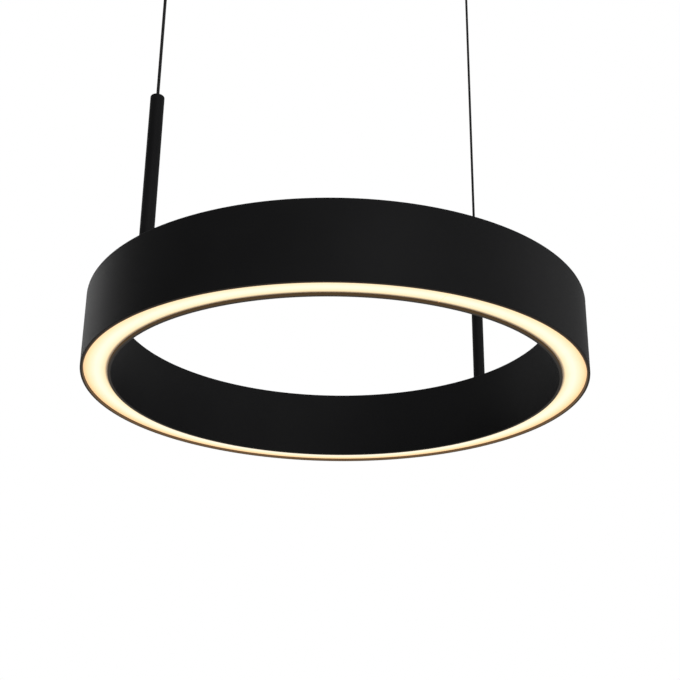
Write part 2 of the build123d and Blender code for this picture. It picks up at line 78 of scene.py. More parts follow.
def join(tree, *links):
    """Links given as (node, output, node, input)."""
    for source, output, target, entry in links:
        tree.links.new(source.outputs[output], target.inputs[entry])


def plain_material(name, **values):
    """A material with one Principled shader, its constants on the shader's own sockets."""
    material = bpy.data.materials.new(name)
    material.use_nodes = True
    shader = material.node_tree.nodes["Principled BSDF"]
    for key, value in values.items():
        shader.inputs[key.replace("_", " ")].default_value = value
    return material, material.node_tree, shader


white = (1.0, 1.0, 1.0, 1.0)
studio = bpy.data.worlds.new("studio")
bpy.context.scene.world = studio
studio.use_nodes = True
sky = studio.node_tree
sky.nodes.clear()
seen = add_node(sky, "ShaderNodeBackground", values={"Color": white, "Strength": 1.0})
soft = add_node(sky, "ShaderNodeBackground", values={"Color": white, "Strength": 0.55})
ray = add_node(sky, "ShaderNodeLightPath")
looks = add_node(sky, "ShaderNodeMath", {"operation": "MAXIMUM"})
shows = add_node(sky, "ShaderNodeMath", {"operation": "MAXIMUM"})
choose = add_node(sky, "ShaderNodeMixShader")
surround = add_node(sky, "ShaderNodeOutputWorld")
join(
    sky,
    (ray, "Is Camera Ray", looks, 0),
    (ray, "Is Glossy Ray", looks, 1),
    (looks, 0, shows, 0),
    (ray, "Is Transmission Ray", shows, 1),
    (shows, 0, choose, 0),
    (soft, 0, choose, 1),
    (seen, 0, choose, 2),
    (choose, 0, surround, "Surface"),
)

lamp_aim = Vector((0.0, 0.0, -0.6))
for name, place, side, power in (
    ("rear_softbox", (-0.29, 2.2, 0.33), 0.9, 10.0),
    ("right_softbox", (1.7, -1.7, 0.0), 1.2, 22.0),
    ("front_softbox", (-1.13, -1.95, 0.2), 1.0, 42.0),
    ("side_softbox", (0.1, -2.3, 0.25), 1.0, 14.0),
    ("top_softbox", (0.4, 0.3, 1.9), 2.0, 34.0),
):
    lamp = bpy.data.lights.new(name, "AREA")
    lamp.shape = "SQUARE"
    lamp.size = side
    lamp.energy = power
    holder = bpy.data.objects.new(name, lamp)
    bpy.context.scene.collection.objects.link(holder)
    away = Vector(place) - lamp_aim
    holder.rotation_mode = "QUATERNION"
    holder.rotation_quaternion = away.to_track_quat("Z", "Y")
    holder.location = place

floor_level = -2.4
floor_reach = 30.0
floor_glow = 0.30
floor_bm = bmesh.new()
bmesh.ops.create_grid(floor_bm, x_segments=1, y_segments=1, size=floor_reach)
bmesh.ops.translate(floor_bm, vec=(0.0, 0.0, floor_level), verts=floor_bm.verts)
floor_mesh = bpy.data.meshes.new("floor")
floor_bm.to_mesh(floor_mesh)
floor_bm.free()
floor = bpy.data.objects.new("floor", floor_mesh)
bpy.context.scene.collection.objects.link(floor)
pale, pale_tree, paint = plain_material(
    "pale_floor", Base_Color=(0.80, 0.80, 0.80, 1.0), Roughness=0.8, Emission_Color=white
)
looked = add_node(pale_tree, "ShaderNodeLightPath")
lift = add_node(pale_tree, "ShaderNodeMath", {"operation": "MULTIPLY"}, {1: floor_glow})
join(pale_tree, (looked, "Is Camera Ray", lift, 0), (lift, 0, paint, "Emission Strength"))
floor.data.materials.append(pale)


# ---- ring housing --------------------------------------------------------------------------------
# An aluminium extrusion rolled into a hoop, welded, ground flush and powder-coated matt black. It is
# closed above. Below, two lips hold the opal strip, and the channel inside is left bare and bright.
def effect_group(name, inputs, outputs):
    """A node group, its inputs given as (name, kind, default) and its outputs as (name, kind)."""
    group = bpy.data.node_groups.new(name, "ShaderNodeTree")
    for label, kind, value in inputs:
        socket = group.interface.new_socket(name=label, in_out="INPUT", socket_type=kind)
        if value is not None:
            socket.default_value = value
    for label, kind in outputs:
        group.interface.new_socket(name=label, in_out="OUTPUT", socket_type=kind)
    return group, group.nodes.new("NodeGroupInput"), group.nodes.new("NodeGroupOutput")


# Fine grain of a baked powder: pin-head bumps, a slower roll under them, and a faint mottle.
coat_grain, coat_in, coat_out = effect_group(
    "coat_grain",
    (
        ("Vector", "NodeSocketVector", None),
        ("Dark", "NodeSocketColor", (0.01, 0.01, 0.01, 1.0)),
        ("Light", "NodeSocketColor", (0.02, 0.02, 0.02, 1.0)),
        ("Grain", "NodeSocketFloat", 1500.0),
        ("Smooth", "NodeSocketFloat", 0.5),
        ("Rough", "NodeSocketFloat", 0.7),
    ),
    (("Color", "NodeSocketColor"), ("Roughness", "NodeSocketFloat"), ("Height", "NodeSocketFloat")),
)
pins = add_node(coat_grain, "ShaderNodeTexNoise", values={"Detail": 2.0, "Roughness": 0.6})
join(coat_grain, (coat_in, "Vector", pins, "Vector"), (coat_in, "Grain", pins, "Scale"))
roll = add_node(coat_grain, "ShaderNodeTexNoise", values={"Scale": 160.0, "Detail": 2.0})
join(coat_grain, (coat_in, "Vector", roll, "Vector"))
mottle = add_node(coat_grain, "ShaderNodeTexNoise", values={"Scale": 9.0, "Detail": 3.0})
join(coat_grain, (coat_in, "Vector", mottle, "Vector"))
heap = add_node(coat_grain, "ShaderNodeMath", {"operation": "MULTIPLY_ADD"}, {1: 0.45})
join(coat_grain, (roll, "Fac", heap, 0), (pins, "Fac", heap, 2), (heap, 0, coat_out, "Height"))
even = add_node(coat_grain, "ShaderNodeMapRange", values={"From Min": 0.3, "From Max": 0.7})
join(coat_grain, (mottle, "Fac", even, "Value"))
shade = add_node(coat_grain, "ShaderNodeMix", {"data_type": "RGBA"})
join(
    coat_grain,
    (even, 0, shade, "Factor"),
    (coat_in, "Dark", shade, 6),
    (coat_in, "Light", shade, 7),
    (shade, 2, coat_out, "Color"),
)
gloss = add_node(coat_grain, "ShaderNodeMapRange", values={"From Min": 0.25, "From Max": 0.75})
join(
    coat_grain,
    (pins, "Fac", gloss, "Value"),
    (coat_in, "Smooth", gloss, "To Min"),
    (coat_in, "Rough", gloss, "To Max"),
    (gloss, 0, coat_out, "Roughness"),
)


def powder_coat(name, dark, light, smooth, rough, specular, grain=1500.0, depth=0.00002):
    """A baked powder coat from the grain group, with its own colours and gloss."""
    material, tree, shader = plain_material(name, Specular_IOR_Level=specular)
    place = add_node(tree, "ShaderNodeTexCoord")
    grained = add_node(tree, "ShaderNodeGroup", {"node_tree": coat_grain})
    grained.inputs["Dark"].default_value = (*dark, 1.0)
    grained.inputs["Light"].default_value = (*light, 1.0)
    grained.inputs["Grain"].default_value = grain
    grained.inputs["Smooth"].default_value = smooth
    grained.inputs["Rough"].default_value = rough
    bump = add_node(tree, "ShaderNodeBump", values={"Strength": 0.35, "Distance": depth})
    join(
        tree,
        (place, "Object", grained, "Vector"),
        (grained, "Color", shader, "Base Color"),
        (grained, "Roughness", shader, "Roughness"),
        (grained, "Height", bump, "Height"),
        (bump, "Normal", shader, "Normal"),
    )
    return material


coat_colours = ((0.0036, 0.0036, 0.0038), (0.0052, 0.0052, 0.0054))
black_coat = powder_coat("matt_black_coat", *coat_colours, smooth=0.50, rough=0.66, specular=0.02)


def radial_light(material, marks):
    """Light that changes across the ring, by colours at radii in mm from the first to the last."""
    tree = material.node_tree
    shader = tree.nodes["Principled BSDF"]
    shader.inputs["Emission Strength"].default_value = 1.0
    place = add_node(tree, "ShaderNodeTexCoord")
    flat = add_node(tree, "ShaderNodeVectorMath", {"operation": "MULTIPLY"}, {1: (1.0, 1.0, 0.0)})
    reach = add_node(tree, "ShaderNodeVectorMath", {"operation": "LENGTH"})
    first, last = marks[0][0], marks[-1][0]
    across = add_node(
        tree, "ShaderNodeMapRange", values={"From Min": first / 1000, "From Max": last / 1000}
    )
    glow = add_node(tree, "ShaderNodeValToRGB")
    glow.color_ramp.elements[0].color = (*marks[0][1], 1.0)
    glow.color_ramp.elements[1].color = (*marks[-1][1], 1.0)
    for radius, colour in marks[1:-1]:
        glow.color_ramp.elements.new((radius - first) / (last - first)).color = (*colour, 1.0)
    join(
        tree,
        (place, "Object", flat, 0),
        (flat, 0, reach, 0),
        (reach, "Value", across, "Value"),
        (across, 0, glow, "Fac"),
        (glow, "Color", shader, "Emission Color"),
    )


# Painted light: the strip's glow painted as emission on the lips, on the faces beside it and fading
# out over their lower edges, with a faint painted light on the lips' undersides.
lip_face_painted_light = powder_coat("painted_glow_lip_faces", *coat_colours, smooth=0.60, rough=0.80, specular=0.0)
radial_light(
    lip_face_painted_light,
    [
        (214.0, (0.080, 0.048, 0.022)),
        (220.0, (0.080, 0.048, 0.022)),
        (232.0, (0.14, 0.080, 0.038)),
        (238.0, (0.14, 0.080, 0.038)),
    ],
)
# The lips' lower edges and undersides: the strip's painted glow, and a faint painted light below.
lip_edge_painted_light = powder_coat("painted_glow_lip_edges", *coat_colours, smooth=0.50, rough=0.66, specular=0.02)
radial_light(
    lip_edge_painted_light,
    [
        (212.0, (0.032, 0.029, 0.026)),
        (214.0, (0.036, 0.032, 0.028)),
        (215.0, (0.070, 0.048, 0.029)),
        (226.0, (0.070, 0.048, 0.029)),
        (227.0, (0.15, 0.095, 0.050)),
        (237.3, (0.15, 0.095, 0.050)),
        (237.9, (0.075, 0.050, 0.030)),
        (238.5, (0.026, 0.021, 0.016)),
        (240.0, (0.020, 0.017, 0.015)),
    ],
)


def turned_mesh(corners, rounded, steps, centre=(0.0, 0.0), arc=(0.0, 360.0)):
    """An outline of (radius, height) in mm, rounded by {corner: mm}, turned about an upright axis."""
    bm = bmesh.new()
    points = [bm.verts.new((r / 1000, 0.0, z / 1000)) for r, z in corners]
    bm.faces.new(points)
    for index, size in rounded.items():
        bmesh.ops.bevel(
            bm,
            geom=[points[index]],
            offset=size / 1000,
            affect="VERTICES",
            segments=4,
            profile=0.5,
            material=-1,
        )
    start, stop = (radians(a) for a in arc)
    whole = abs(stop - start - 2 * pi) < 1e-6
    bmesh.ops.rotate(bm, cent=(0, 0, 0), matrix=Matrix.Rotation(start, 3, "Z"), verts=bm.verts)
    if whole:
        bmesh.ops.delete(bm, geom=[f for f in bm.faces], context="FACES_ONLY")
        section = [*bm.verts, *bm.edges]
    else:
        section = [*bm.verts, *bm.edges, *bm.faces]
    bmesh.ops.spin(
        bm,
        geom=section,
        cent=(0, 0, 0),
        axis=(0, 0, 1),
        angle=stop - start,
        steps=steps,
        use_merge=whole,
        use_duplicate=False,
    )
    if not whole:
        bmesh.ops.holes_fill(bm, edges=[e for e in bm.edges if e.is_boundary], sides=0)
    bmesh.ops.remove_doubles(bm, verts=bm.verts, dist=1e-7)
    bmesh.ops.recalc_face_normals(bm, faces=bm.faces)
    bmesh.ops.translate(bm, vec=(centre[0] / 1000, centre[1] / 1000, 0.0), verts=bm.verts)
    return bm


def mount_piece(name, bm, materials, body, stands_for=(), crease=30.0):
    """The finished piece from its mesh, shaded smooth up to a crease angle, riding on its body."""
    mesh = bpy.data.meshes.new(name)
    bm.to_mesh(mesh)
    bm.free()
    for material in materials:
        mesh.materials.append(material)
    mesh.shade_smooth()
    mesh.set_sharp_from_angle(angle=radians(crease))
    piece = bpy.data.objects.new(name, mesh)
    bpy.context.scene.collection.objects.link(piece)
    even_light = piece.modifiers.new("even_light", "WEIGHTED_NORMAL")
    even_light.keep_sharp = True
    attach(piece, body)
    if stands_for:
        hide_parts(*stands_for)
    return piece


def climbing_light(name, base, foot, head, dim, bright, growth="LINEAR"):
    """A lit finish whose light grows from dim to bright between two heights in mm."""
    material, tree, shader = plain_material(
        name, Base_Color=(*base, 1.0), Roughness=0.5, Emission_Strength=1.0
    )
    place = add_node(tree, "ShaderNodeTexCoord")
    split = add_node(tree, "ShaderNodeSeparateXYZ")
    climb = add_node(
        tree,
        "ShaderNodeMapRange",
        {"interpolation_type": growth},
        {"From Min": foot / 1000, "From Max": head / 1000},
    )
    glow = add_node(tree, "ShaderNodeValToRGB")
    glow.color_ramp.elements[0].color = (*dim, 1.0)
    glow.color_ramp.elements[1].color = (*bright, 1.0)
    join(
        tree,
        (place, "Object", split, "Vector"),
        (split, "Z", climb, "Value"),
        (climb, 0, glow, "Fac"),
        (glow, "Color", shader, "Emission Color"),
    )
    return material


ring_low, ring_high = -700.0, -628.0
ring_inner, ring_outer = 212.0, 240.0
channel_inner, channel_outer = 214.0, 238.0
channel_roof = ring_high - 2.5
lip_reach, lip_top = 1.0, ring_low + 2.5
snap_reach, snap_low, snap_high = 0.8, ring_low + 10.7, ring_low + 11.7
rib_reach, rib_low, rib_high = 3.0, ring_low + 25.5, ring_low + 27.5
foot_round, head_round, lip_round = 0.7, 0.9, 0.25

# Painted light: the LEDs' light on the channel's bare walls, painted as emission, weak beside the
# strip and strong beside the boards.
channel_walls_painted_light = climbing_light(
    "channel_painted_light",
    base=(0.75, 0.66, 0.52),
    foot=lip_top,
    head=lip_top + 13.5,
    dim=(0.85, 0.42, 0.17),
    bright=(2.4, 1.75, 1.0),
    growth="SMOOTHSTEP",
)


def channel_side(wall, way):
    """One side of the channel from its lip up: the lip, the snap rib and the tray's rib on a wall."""
    outline = [(wall + way * lip_reach, ring_low), (wall + way * lip_reach, lip_top), (wall, lip_top)]
    for reach, low, high in ((snap_reach, snap_low, snap_high), (rib_reach, rib_low, rib_high)):
        outline += [(wall, low), (wall + way * reach, low), (wall + way * reach, high), (wall, high)]
    return outline + [(wall, channel_roof)]


ring_outline = [
    (ring_outer, ring_low), (ring_outer, ring_high), (ring_inner, ring_high), (ring_inner, ring_low),
    *channel_side(channel_inner, 1), *reversed(channel_side(channel_outer, -1)),
]
last = len(ring_outline) - 1
ring_rounds = {0: foot_round, 1: head_round, 2: head_round, 3: foot_round}
ring_rounds.update({corner: lip_round for corner in (4, 5, last - 1, last)})
ring_steps = 384
ring_bm = turned_mesh(ring_outline, ring_rounds, ring_steps)
ring_finishes = [black_coat, channel_walls_painted_light, lip_face_painted_light, lip_edge_painted_light]
edge_zone, side_zone, margin = 0.3, 0.4, 0.1
# Facets that take painted light: the channel's walls, the lips' faces beside the strip, and their
# lower edges.
for facet in ring_bm.faces:
    middle = facet.calc_center_median()
    radius = 1000 * middle.xy.length
    height = 1000 * middle.z
    within = min(radius - channel_inner, channel_outer - radius)
    if within > -margin and lip_top + margin < height < ring_high - 1.0:
        facet.material_index = ring_finishes.index(channel_walls_painted_light)
    elif within > side_zone and ring_low + edge_zone < height < lip_top + margin:
        facet.material_index = ring_finishes.index(lip_face_painted_light)
    elif height <= ring_low + edge_zone:
        facet.material_index = ring_finishes.index(lip_edge_painted_light)
mount_piece("ring_shell", ring_bm, ring_finishes, "ring", ["ring_housing"])

# ---- opal strip ----------------------------------------------------------------------------------
# Extruded opal polycarbonate, bent into a ring and pressed up between the lips. Its two legs snap
# under ribs. Its ends meet in a fine joint, which lets out a trace of raw light.
def colour_mix(tree, dark, light):
    """A mix of two plain colours, for a factor from the dark one to the light one."""
    return add_node(
        tree, "ShaderNodeMix", {"data_type": "RGBA"}, {6: (*dark, 1.0), 7: (*light, 1.0)}
    )


opal, opal_tree, opal_shader = plain_material("opal_plate", Roughness=0.42, Specular_IOR_Level=0.1)
opal_place = add_node(opal_tree, "ShaderNodeTexCoord")
opal_cloud = add_node(opal_tree, "ShaderNodeTexNoise", values={"Scale": 55.0, "Detail": 2.0})
opal_base = colour_mix(opal_tree, (0.30, 0.27, 0.22), (0.36, 0.33, 0.28))
join(
    opal_tree,
    (opal_place, "Object", opal_cloud, "Vector"),
    (opal_cloud, "Fac", opal_base, "Factor"),
    (opal_base, 2, opal_shader, "Base Color"),
)
# The strip's glow across its width. Its innermost millimetre or so is painted dark, as painted shade
# where the inner leg and lip stand.
radial_light(
    opal,
    [
        (215.0, (0.03, 0.015, 0.005)),
        (215.9, (0.16, 0.09, 0.04)),
        (216.7, (0.50, 0.34, 0.15)),
        (217.6, (0.78, 0.62, 0.33)),
        (219.5, (0.86, 0.70, 0.43)),
        (223.0, (0.87, 0.77, 0.57)),
        (226.0, (0.87, 0.77, 0.59)),
        (229.0, (0.85, 0.72, 0.48)),
        (232.0, (0.87, 0.66, 0.36)),
        (234.0, (0.87, 0.60, 0.28)),
        (235.0, (0.87, 0.56, 0.24)),
        (236.0, (0.87, 0.53, 0.23)),
        (237.0, (0.87, 0.53, 0.24)),
    ],
)

plate_inner, plate_outer = 214.2, 237.8
leg_width = 1.2
plate_low = lip_top
plate_top = plate_low + 2.0
leg_top = plate_low + 8.0
leg_round = 0.3

# The legs are the same plastic seen on edge, dim at the lips and brighter towards the boards.
opal_leg = climbing_light(
    "opal_legs",
    base=(0.7, 0.62, 0.5),
    foot=plate_top,
    head=leg_top,
    dim=(0.80, 0.36, 0.12),
    bright=(1.9, 1.25, 0.65),
)

joint_angle = -112.2
half_gap = 0.038
strip_outline = [
    (plate_inner, plate_low), (plate_outer, plate_low), (plate_outer, leg_top),
    (plate_outer - leg_width, leg_top), (plate_outer - leg_width, plate_top),
    (plate_inner + leg_width, plate_top), (plate_inner + leg_width, leg_top), (plate_inner, leg_top),
]
strip_arc = (joint_angle + half_gap, joint_angle + 360.0 - half_gap)
strip_bm = turned_mesh(strip_outline, {2: leg_round, 7: leg_round}, ring_steps, arc=strip_arc)
strip_finishes = [opal, opal_leg]
for facet in strip_bm.faces:
    if 1000 * facet.calc_center_median().z > plate_top + 0.05:
        facet.material_index = strip_finishes.index(opal_leg)
mount_piece("opal_strip", strip_bm, strip_finishes, "ring", ["diffuser"])

# ---- LED tray, boards, chips and links -----------------------------------------------------------
# A flat aluminium ring under the channel's ribs carries six curved white boards, each with a row of
# yellow-topped LEDs. Tinned copper strips bridge the boards' ends.
def lit_speckle(name, roughness, scale, detail, bases, glows):
    """A lit finish with a fine speckle between two base colours and two colours of light."""
    material, tree, shader = plain_material(name, Roughness=roughness, Emission_Strength=1.0)
    place = add_node(tree, "ShaderNodeTexCoord")
    speck = add_node(tree, "ShaderNodeTexNoise", values={"Scale": scale, "Detail": detail})
    join(tree, (place, "Object", speck, "Vector"))
    for colours, socket in ((bases, "Base Color"), (glows, "Emission Color")):
        mixed = colour_mix(tree, *colours)
        join(tree, (speck, "Fac", mixed, "Factor"), (mixed, 2, shader, socket))
    return material


def dress(material, *nodes):
    """The CAD piece keeps its shape and gets this finish."""
    for node in nodes:
        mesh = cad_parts[node].data
        mesh.materials.clear()
        mesh.materials.append(material)


# The white boards' glow is painted light: their LEDs' light drawn as emission on the boards.
boards_painted_light = lit_speckle(
    "white_boards_painted_light",
    roughness=0.45,
    scale=420.0,
    detail=3.0,
    bases=((0.84, 0.83, 0.79), (0.92, 0.91, 0.88)),
    glows=((2.5, 1.85, 1.1), (2.8, 2.05, 1.25)),
)
phosphor = lit_speckle(
    "lit_phosphor",
    roughness=0.3,
    scale=1400.0,
    detail=2.0,
    bases=((0.9, 0.62, 0.12), (0.98, 0.78, 0.25)),
    glows=((3.0, 2.2, 1.3), (3.4, 2.5, 1.5)),
)
dress(boards_painted_light, *[f"led_board_{n}" for n in range(1, 7)])
dress(phosphor, "led_chips")

# Drawn or rolled metal: fine lines along one direction, with a faint cloud of tarnish over them.
metal_lines, lines_in, lines_out = effect_group(
    "metal_lines",
    (
        ("Vector", "NodeSocketVector", None),
        ("Stretch", "NodeSocketVector", (1.0, 1.0, 1.0)),
        ("Dull", "NodeSocketColor", (0.5, 0.5, 0.5, 1.0)),
        ("Bright", "NodeSocketColor", (0.7, 0.7, 0.7, 1.0)),
        ("Smooth", "NodeSocketFloat", 0.25),
        ("Rough", "NodeSocketFloat", 0.45),
    ),
    (("Color", "NodeSocketColor"), ("Roughness", "NodeSocketFloat"), ("Height", "NodeSocketFloat")),
)
drawn = add_node(metal_lines, "ShaderNodeVectorMath", {"operation": "MULTIPLY"})
scratch = add_node(metal_lines, "ShaderNodeTexNoise", values={"Scale": 900.0, "Detail": 3.0})
tarnish = add_node(metal_lines, "ShaderNodeTexNoise", values={"Scale": 60.0, "Detail": 3.0})
blend = add_node(metal_lines, "ShaderNodeMix", {"data_type": "RGBA"})
polish = add_node(metal_lines, "ShaderNodeMapRange", values={"From Min": 0.3, "From Max": 0.7})
join(
    metal_lines,
    (lines_in, "Vector", drawn, 0),
    (lines_in, "Stretch", drawn, 1),
    (drawn, 0, scratch, "Vector"),
    (lines_in, "Vector", tarnish, "Vector"),
    (tarnish, "Fac", blend, "Factor"),
    (lines_in, "Dull", blend, 6),
    (lines_in, "Bright", blend, 7),
    (blend, 2, lines_out, "Color"),
    (scratch, "Fac", polish, "Value"),
    (lines_in, "Smooth", polish, "To Min"),
    (lines_in, "Rough", polish, "To Max"),
    (polish, 0, lines_out, "Roughness"),
    (scratch, "Fac", lines_out, "Height"),
)


def bare_metal(name, dull, bright, smooth, rough, stretch=(1.0, 1.0, 1.0), depth=0.00001):
    """Bare metal from the drawn-line group, with its own colours, gloss and direction of drawing."""
    material, tree, shader = plain_material(name, Metallic=1.0)
    place = add_node(tree, "ShaderNodeTexCoord")
    lined = add_node(tree, "ShaderNodeGroup", {"node_tree": metal_lines})
    lined.inputs["Dull"].default_value = (*dull, 1.0)
    lined.inputs["Bright"].default_value = (*bright, 1.0)
    lined.inputs["Smooth"].default_value = smooth
    lined.inputs["Rough"].default_value = rough
    lined.inputs["Stretch"].default_value = stretch
    bump = add_node(tree, "ShaderNodeBump", values={"Strength": 0.3, "Distance": depth})
    join(
        tree,
        (place, "Object", lined, "Vector"),
        (lined, "Color", shader, "Base Color"),
        (lined, "Roughness", shader, "Roughness"),
        (lined, "Height", bump, "Height"),
        (bump, "Normal", shader, "Normal"),
    )
    return material


tray_metal = bare_metal(
    "rolled_aluminium", (0.66, 0.67, 0.68), (0.78, 0.79, 0.80), smooth=0.3, rough=0.5
)
tinned_copper = bare_metal(
    "tinned_copper", (0.62, 0.45, 0.32), (0.78, 0.62, 0.48), smooth=0.25, rough=0.4
)
dress(tray_metal, "led_tray", "tray_clamps", "rod_foot_left", "rod_foot_right")
dress(tinned_copper, "board_links")

# ---- screws, nuts and washers --------------------------------------------------------------------
# Bright zinc-plated steel, faintly blue, with turning marks round each head.
zinc_plate = bare_metal(
    "bright_zinc",
    (0.55, 0.56, 0.58),
    (0.70, 0.71, 0.74),
    smooth=0.18,
    rough=0.36,
    stretch=(0.2, 0.2, 3.0),
)
dress(
    zinc_plate,
    "tray_screws",
    "foot_washers",
    "foot_nuts",
    "gripper_nuts",
    "driver_screws",
    "terminal_screws",
    "earth_screw",
    "gripper_jaws_left",
    "gripper_jaws_right",
)

# ---- rods ----------------------------------------------------------------------------------------
# Thin aluminium tubes that stand on the ring, with a turned cap pressed into the top of each. Both
# are coated like the ring. The cap's edge is rounded, and its flared hole lets the cable lean.
rod_places = {"left": (-226.0, 0.0), "right": (226.0, 0.0)}
rod_radius, rod_bore = 6.25, 5.25
rod_low, rod_high, cap_high = -628.0, -487.0, -481.0
plug_low, plug_radius = -495.0, 5.2
seat_radius, seat_high = 3.25, -487.654
throat_radius, throat_high, mouth_radius = 2.15, -486.556, 3.13
tube_outline = [
    (rod_bore, rod_low), (rod_radius, rod_low), (rod_radius, rod_high), (rod_bore, rod_high),
]
cap_outline = [
    (seat_radius, plug_low), (plug_radius, plug_low), (plug_radius, rod_high),
    (rod_radius, rod_high), (rod_radius, cap_high), (mouth_radius, cap_high),
    (throat_radius, throat_high), (seat_radius, seat_high),
]
for side, place in rod_places.items():
    tube_bm = turned_mesh(tube_outline, {2: 0.12}, steps=72, centre=place)
    mount_piece(f"rod_{side}", tube_bm, [black_coat], "ring", [f"rod_tube_{side}"])
    cap_bm = turned_mesh(cap_outline, {3: 0.12, 4: 1.0, 5: 0.35}, steps=72, centre=place)
    mount_piece(f"rod_top_{side}", cap_bm, [black_coat], "ring", [f"rod_cap_{side}"])

# ---- suspension cables ---------------------------------------------------------------------------
# Fine steel rope in a tight black sheath, pulled straight by the lamp's weight. It comes out of the
# gripper's release sleeve and goes down into the rod's cap. The rope's lay just shows in the sheath.
cable_radius = 1.4
cable_top, cable_foot = -56.35, -486.36
rope_strands = 6.0
lay_per_metre = 900.0
sheath, sheath_tree, sheath_shader = plain_material("black_sheath", Specular_IOR_Level=0.05)
sheath_place = add_node(sheath_tree, "ShaderNodeTexCoord")
sheath_split = add_node(sheath_tree, "ShaderNodeSeparateXYZ")
sheath_side = add_node(sheath_tree, "ShaderNodeMath", {"operation": "ABSOLUTE"})
sheath_off = add_node(
    sheath_tree, "ShaderNodeMath", {"operation": "SUBTRACT"}, {1: rod_places["right"][0] / 1000}
)
sheath_round = add_node(sheath_tree, "ShaderNodeMath", {"operation": "ARCTAN2"})
sheath_lay = add_node(sheath_tree, "ShaderNodeMath", {"operation": "MULTIPLY"}, {1: lay_per_metre})
sheath_strand = add_node(sheath_tree, "ShaderNodeMath", {"operation": "MULTIPLY"}, {1: rope_strands})
sheath_twist = add_node(sheath_tree, "ShaderNodeMath", {"operation": "ADD"})
sheath_wave = add_node(sheath_tree, "ShaderNodeMath", {"operation": "SINE"})
sheath_bump = add_node(sheath_tree, "ShaderNodeBump", values={"Strength": 0.05, "Distance": 0.00003})
sheath_speck = add_node(sheath_tree, "ShaderNodeTexNoise", values={"Scale": 700.0})
sheath_base = colour_mix(sheath_tree, (0.003, 0.003, 0.003), (0.005, 0.005, 0.005))
sheath_gloss = add_node(sheath_tree, "ShaderNodeMapRange", values={"To Min": 0.42, "To Max": 0.6})
join(
    sheath_tree,
    (sheath_place, "Object", sheath_split, "Vector"),
    (sheath_split, "X", sheath_side, 0),
    (sheath_side, 0, sheath_off, 0),
    (sheath_split, "Y", sheath_round, 0),
    (sheath_off, 0, sheath_round, 1),
    (sheath_round, 0, sheath_strand, 0),
    (sheath_split, "Z", sheath_lay, 0),
    (sheath_strand, 0, sheath_twist, 0),
    (sheath_lay, 0, sheath_twist, 1),
    (sheath_twist, 0, sheath_wave, 0),
    (sheath_wave, 0, sheath_bump, "Height"),
    (sheath_bump, "Normal", sheath_shader, "Normal"),
    (sheath_place, "Object", sheath_speck, "Vector"),
    (sheath_speck, "Fac", sheath_base, "Factor"),
    (sheath_base, 2, sheath_shader, "Base Color"),
    (sheath_speck, "Fac", sheath_gloss, "Value"),
    (sheath_gloss, 0, sheath_shader, "Roughness"),
)


def new_verts(grown):
    """The vertices among what an operator made."""
    return [item for item in grown if isinstance(item, bmesh.types.BMVert)]


def new_edges(grown):
    """The edges among what an operator made."""
    return [item for item in grown if isinstance(item, bmesh.types.BMEdge)]


def push_loop(bm, loop, rise, widen=1.0):
    """A closed loop of edges drawn on along Z, and widened or narrowed, into the next loop."""
    grown = bmesh.ops.extrude_edge_only(bm, edges=loop)["geom"]
    bmesh.ops.scale(bm, vec=(widen, widen, 1.0), verts=new_verts(grown))
    bmesh.ops.translate(bm, vec=(0.0, 0.0, rise / 1000), verts=new_verts(grown))
    return new_edges(grown)


swing_height = -0.056
head_radius = 0.00135
socket_radius, socket_depth = 1.385, 1.5
tail_height, tail_bend, tail_reach = -0.007, 0.008, 0.016


def cable_tail():
    """The cable above the swing line: hollow at its foot, upright, then bent over towards +X."""
    bm = bmesh.new()
    bmesh.ops.create_circle(bm, segments=24, radius=socket_radius / 1000)
    bmesh.ops.translate(bm, vec=(0.0, 0.0, swing_height + socket_depth / 1000), verts=bm.verts)
    foot = push_loop(bm, bm.edges[:], -socket_depth)
    rim = push_loop(bm, foot, 0.0, cable_radius / socket_radius)
    upright = push_loop(bm, rim, 1000 * (tail_height - tail_bend - swing_height))
    bent = bmesh.ops.spin(
        bm,
        geom=[*upright, *dict.fromkeys(vert for edge in upright for vert in edge.verts)],
        cent=(tail_bend, 0.0, tail_height - tail_bend),
        axis=(0, 1, 0),
        angle=pi / 2,
        steps=10,
    )["geom_last"]
    level = bmesh.ops.extrude_edge_only(bm, edges=new_edges(bent))["geom"]
    bmesh.ops.translate(bm, vec=(tail_reach - tail_bend, 0.0, 0.0), verts=new_verts(level))
    bmesh.ops.holes_fill(bm, edges=[e for e in bm.edges if e.is_boundary], sides=0)
    return bm


cable_outline = [
    (0.0, cable_foot), (cable_radius, cable_foot), (cable_radius, cable_top), (0.0, cable_top),
]
for side, place in rod_places.items():
    cable_bm = turned_mesh(cable_outline, {}, steps=32, centre=place)
    cable = mount_piece(
        f"cable_{side}", cable_bm, [sheath], "suspension", [f"suspension_cable_{side}"]
    )
    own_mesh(cable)
    # A round end in the gripper's mouth, on the line that the cable swings about.
    head_bm = bmesh.new()
    bmesh.ops.create_uvsphere(head_bm, u_segments=24, v_segments=12, radius=head_radius)
    bmesh.ops.translate(head_bm, vec=(place[0] / 1000, 0.0, swing_height), verts=head_bm.verts)
    mount_piece(f"cable_head_{side}", head_bm, [sheath], "suspension")
    # The rest goes up, hollow where it takes that end, and bends over to its connector.
    tail_bm = cable_tail()
    inwards = Matrix.Rotation(0.0 if side == "left" else pi, 3, "Z")
    bmesh.ops.rotate(tail_bm, cent=(0, 0, 0), matrix=inwards, verts=tail_bm.verts)
    bmesh.ops.translate(tail_bm, vec=(place[0] / 1000, 0.0, 0.0), verts=tail_bm.verts)
    bmesh.ops.recalc_face_normals(tail_bm, faces=tail_bm.faces)
    mount_piece(f"tail_{side}", tail_bm, [sheath], "canopy", [f"cable_tail_{side}"])
